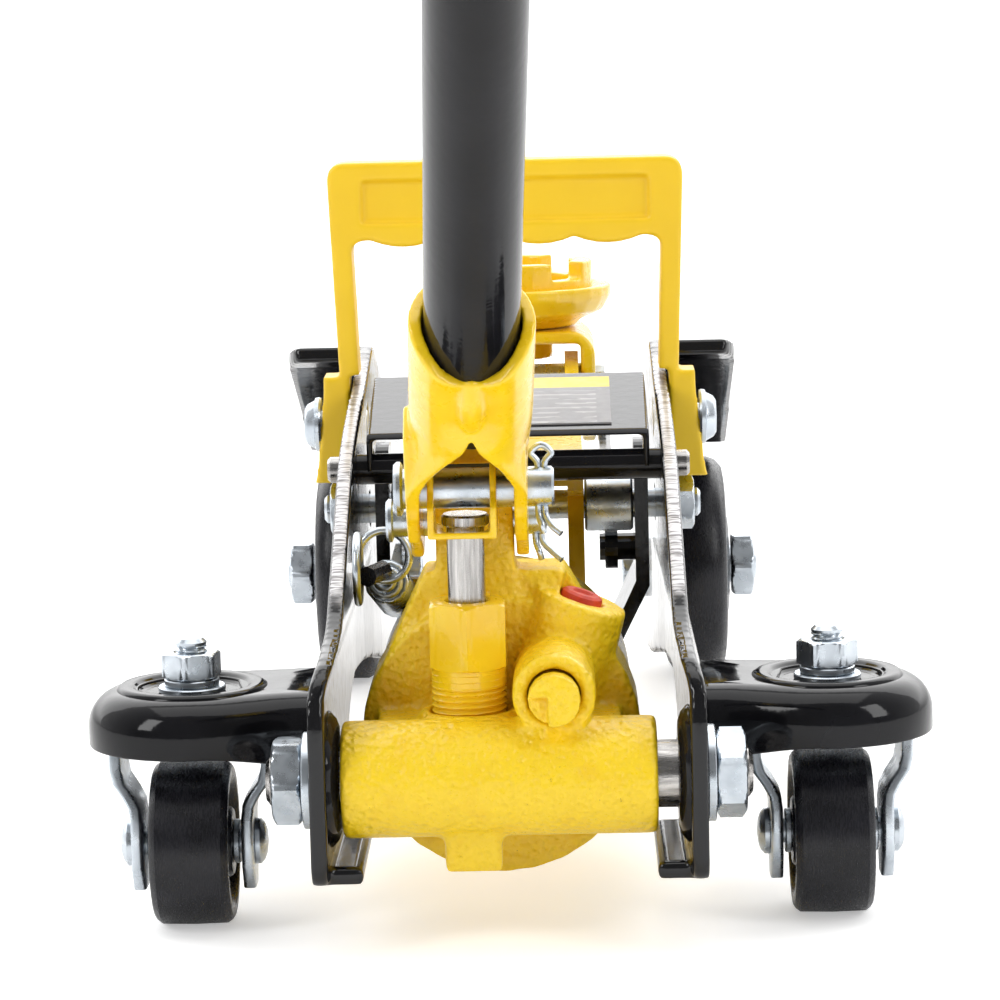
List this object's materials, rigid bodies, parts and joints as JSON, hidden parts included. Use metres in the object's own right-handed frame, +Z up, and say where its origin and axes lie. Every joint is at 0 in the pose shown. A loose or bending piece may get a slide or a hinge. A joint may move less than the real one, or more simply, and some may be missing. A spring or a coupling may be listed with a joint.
{
  "type": "hydraulic trolley jack",
  "caption": "Low hydraulic floor jack: pump handle in a yoke, lift arm with level saddle, front wheels, rear swivel casters and a carry handle.",
  "frame": {"origin": "on the floor, under the middle of the rear cross shaft", "axes": "+Z up, +Y forward from the pump handle to the saddle, +X right"},
  "size_m": [0.206, 0.6457, 0.3882],
  "materials": {
    "yellow_paint": "glossy enamel",
    "cast_yellow": "glossy enamel over a rough casting",
    "yellow_plastic": "satin moulded plastic",
    "black_paint": "glossy enamel",
    "black_plastic": "satin moulded plastic",
    "grip_rubber": "matt ribbed rubber",
    "zinc": "zinc plated",
    "bare_steel": "bare ground steel",
    "red_rubber": "moulded rubber",
    "label_film": "printed film without lettering"
  },
  "bodies": {
    "frame": {"pump_barrel": "yellow_paint", "reservoir_tube": "yellow_paint", "reservoir_cap": "yellow_paint", "power_unit_casting": "cast_yellow", "carry_handle": "yellow_plastic", "side_plate_left": "black_paint", "side_plate_right": "black_paint", "caster_arm_left": "black_paint", "caster_arm_right": "black_paint", "pivot_bracket_left": "black_paint", "pivot_bracket_right": "black_paint", "cover_plate": "black_paint", "cable_tie": "black_plastic", "cross_shaft_nut_left": "zinc", "cross_shaft_nut_right": "zinc", "pivot_nut_left": "zinc", "pivot_nut_right": "zinc", "pivot_sleeve_left": "zinc", "pivot_sleeve_right": "zinc", "carry_handle_bolt_left": "zinc", "carry_handle_bolt_right": "zinc", "pivot_bolt": "zinc", "fulcrum_pin": "zinc", "fulcrum_cotter": "zinc", "return_spring": "zinc", "spring_eye": "zinc", "front_axle_left": "zinc", "front_axle_right": "zinc", "front_axle_nut_left": "zinc", "front_axle_nut_right": "zinc", "caster_bolt_left": "zinc", "caster_bolt_right": "zinc", "cross_shaft": "bare_steel", "tie_rod": "bare_steel", "filler_plug": "red_rubber", "label_plate": "label_film"},
    "handle_yoke_body": {"handle_yoke": "yellow_paint", "piston_pin": "zinc", "piston_cotter": "zinc"},
    "handle_body": {"handle_tube": "black_paint", "handle_grip": "grip_rubber"},
    "piston_bracket_body": {"piston_bracket": "yellow_paint"},
    "pump_piston_body": {"pump_piston": "bare_steel"},
    "release_valve_body": {"release_valve": "cast_yellow"},
    "lift_arm_body": {"lift_arm": "yellow_paint", "ram_pin": "bare_steel", "carrier_pin": "zinc"},
    "saddle_carrier_body": {"saddle_carrier": "yellow_paint"},
    "saddle_body": {"saddle": "yellow_paint"},
    "level_link_body": {"level_link": "black_paint"},
    "ram_body": {"ram_rod": "bare_steel"},
    "spring_hook_body": {"spring_hook": "zinc"},
    "front_wheel_left_body": {"front_wheel_left": "black_paint"},
    "caster_left_body": {"caster_fork_left": "zinc", "caster_axle_left": "zinc"},
    "caster_wheel_left_body": {"caster_wheel_left": "black_plastic"},
    "front_wheel_right_body": {"front_wheel_right": "black_paint"},
    "caster_right_body": {"caster_fork_right": "zinc", "caster_axle_right": "zinc"},
    "caster_wheel_right_body": {"caster_wheel_right": "black_plastic"}
  },
  "joints": [
    {"name": "handle_pump", "type": "hinge", "parent": "frame", "child": "handle_yoke_body", "pos_m": [-0.00865, 0.032, 0.097], "axis": [1, 0, 0], "range_deg": [-15, 25]},
    {"name": "handle_pull_out", "type": "slide", "parent": "handle_yoke_body", "child": "handle_body", "axis": [0.0401, -0.7188, 0.6941], "range_m": [0, 0.04]},
    {"name": "piston_bracket_swing", "type": "hinge", "parent": "handle_yoke_body", "child": "piston_bracket_body", "pos_m": [-0.0098, 0.012, 0.1075], "axis": [1, 0, 0], "range_deg": [-26, 16]},
    {"name": "pump_stroke", "type": "slide", "parent": "frame", "child": "pump_piston_body", "axis": [0, 0, 1], "range_m": [-0.0095, 0.006]},
    {"name": "release_valve_turn", "type": "hinge", "parent": "frame", "child": "release_valve_body", "pos_m": [0.011, -0.01, 0.0605], "axis": [0, 1, 0], "range_deg": [0, 180]},
    {"name": "lift", "type": "hinge", "parent": "frame", "child": "lift_arm_body", "pos_m": [0, 0.15, 0.083], "axis": [1, 0, 0], "range_deg": [0, 65]},
    {"name": "saddle_level", "type": "hinge", "parent": "lift_arm_body", "child": "saddle_carrier_body", "pos_m": [0, 0.335, 0.097], "axis": [1, 0, 0], "range_deg": [-66, 1]},
    {"name": "saddle_swivel", "type": "hinge", "parent": "saddle_carrier_body", "child": "saddle_body", "pos_m": [0, 0.343, 0.115], "axis": [0, 0, 1], "continuous": true},
    {"name": "level_link_swing", "type": "hinge", "parent": "frame", "child": "level_link_body", "pos_m": [0.027, 0.162, 0.069], "axis": [1, 0, 0], "range_deg": [-1, 66]},
    {"name": "ram_stroke", "type": "slide", "parent": "frame", "child": "ram_body", "axis": [0, 1, 0], "range_m": [0, 0.0461]},
    {"name": "spring_stretch", "type": "slide", "parent": "frame", "child": "spring_hook_body", "axis": [0, 1, 0], "range_m": [0, 0.0268], "deforming": ["return_spring"]},
    {"name": "front_wheel_left_spin", "type": "hinge", "parent": "frame", "child": "front_wheel_left_body", "pos_m": [-0.055, 0.339, 0.035], "axis": [1, 0, 0], "continuous": true},
    {"name": "caster_left_swivel", "type": "hinge", "parent": "frame", "child": "caster_left_body", "pos_m": [-0.0775, 0.03, 0.048], "axis": [0, 0, 1], "continuous": true},
    {"name": "caster_wheel_left_spin", "type": "hinge", "parent": "caster_left_body", "child": "caster_wheel_left_body", "pos_m": [-0.0775, 0.024, 0.02], "axis": [1, 0, 0], "continuous": true},
    {"name": "front_wheel_right_spin", "type": "hinge", "parent": "frame", "child": "front_wheel_right_body", "pos_m": [0.055, 0.339, 0.035], "axis": [1, 0, 0], "continuous": true},
    {"name": "caster_right_swivel", "type": "hinge", "parent": "frame", "child": "caster_right_body", "pos_m": [0.0775, 0.03, 0.048], "axis": [0, 0, 1], "continuous": true},
    {"name": "caster_wheel_right_spin", "type": "hinge", "parent": "caster_right_body", "child": "caster_wheel_right_body", "pos_m": [0.0775, 0.024, 0.02], "axis": [1, 0, 0], "continuous": true}
  ],
  "couplings": [
    {"joint": "piston_bracket_swing", "follows": "handle_pump", "ratio": -1},
    {"joint": "pump_stroke", "follows": "handle_pump", "m_per_rad": -0.02},
    {"joint": "saddle_level", "follows": "lift", "ratio": -1},
    {"joint": "level_link_swing", "follows": "lift", "ratio": 1},
    {"joint": "ram_stroke", "follows": "lift", "m_per_rad": 0.03977},
    {"joint": "spring_stretch", "follows": "lift", "m_per_rad": 0.022742}
  ]
}
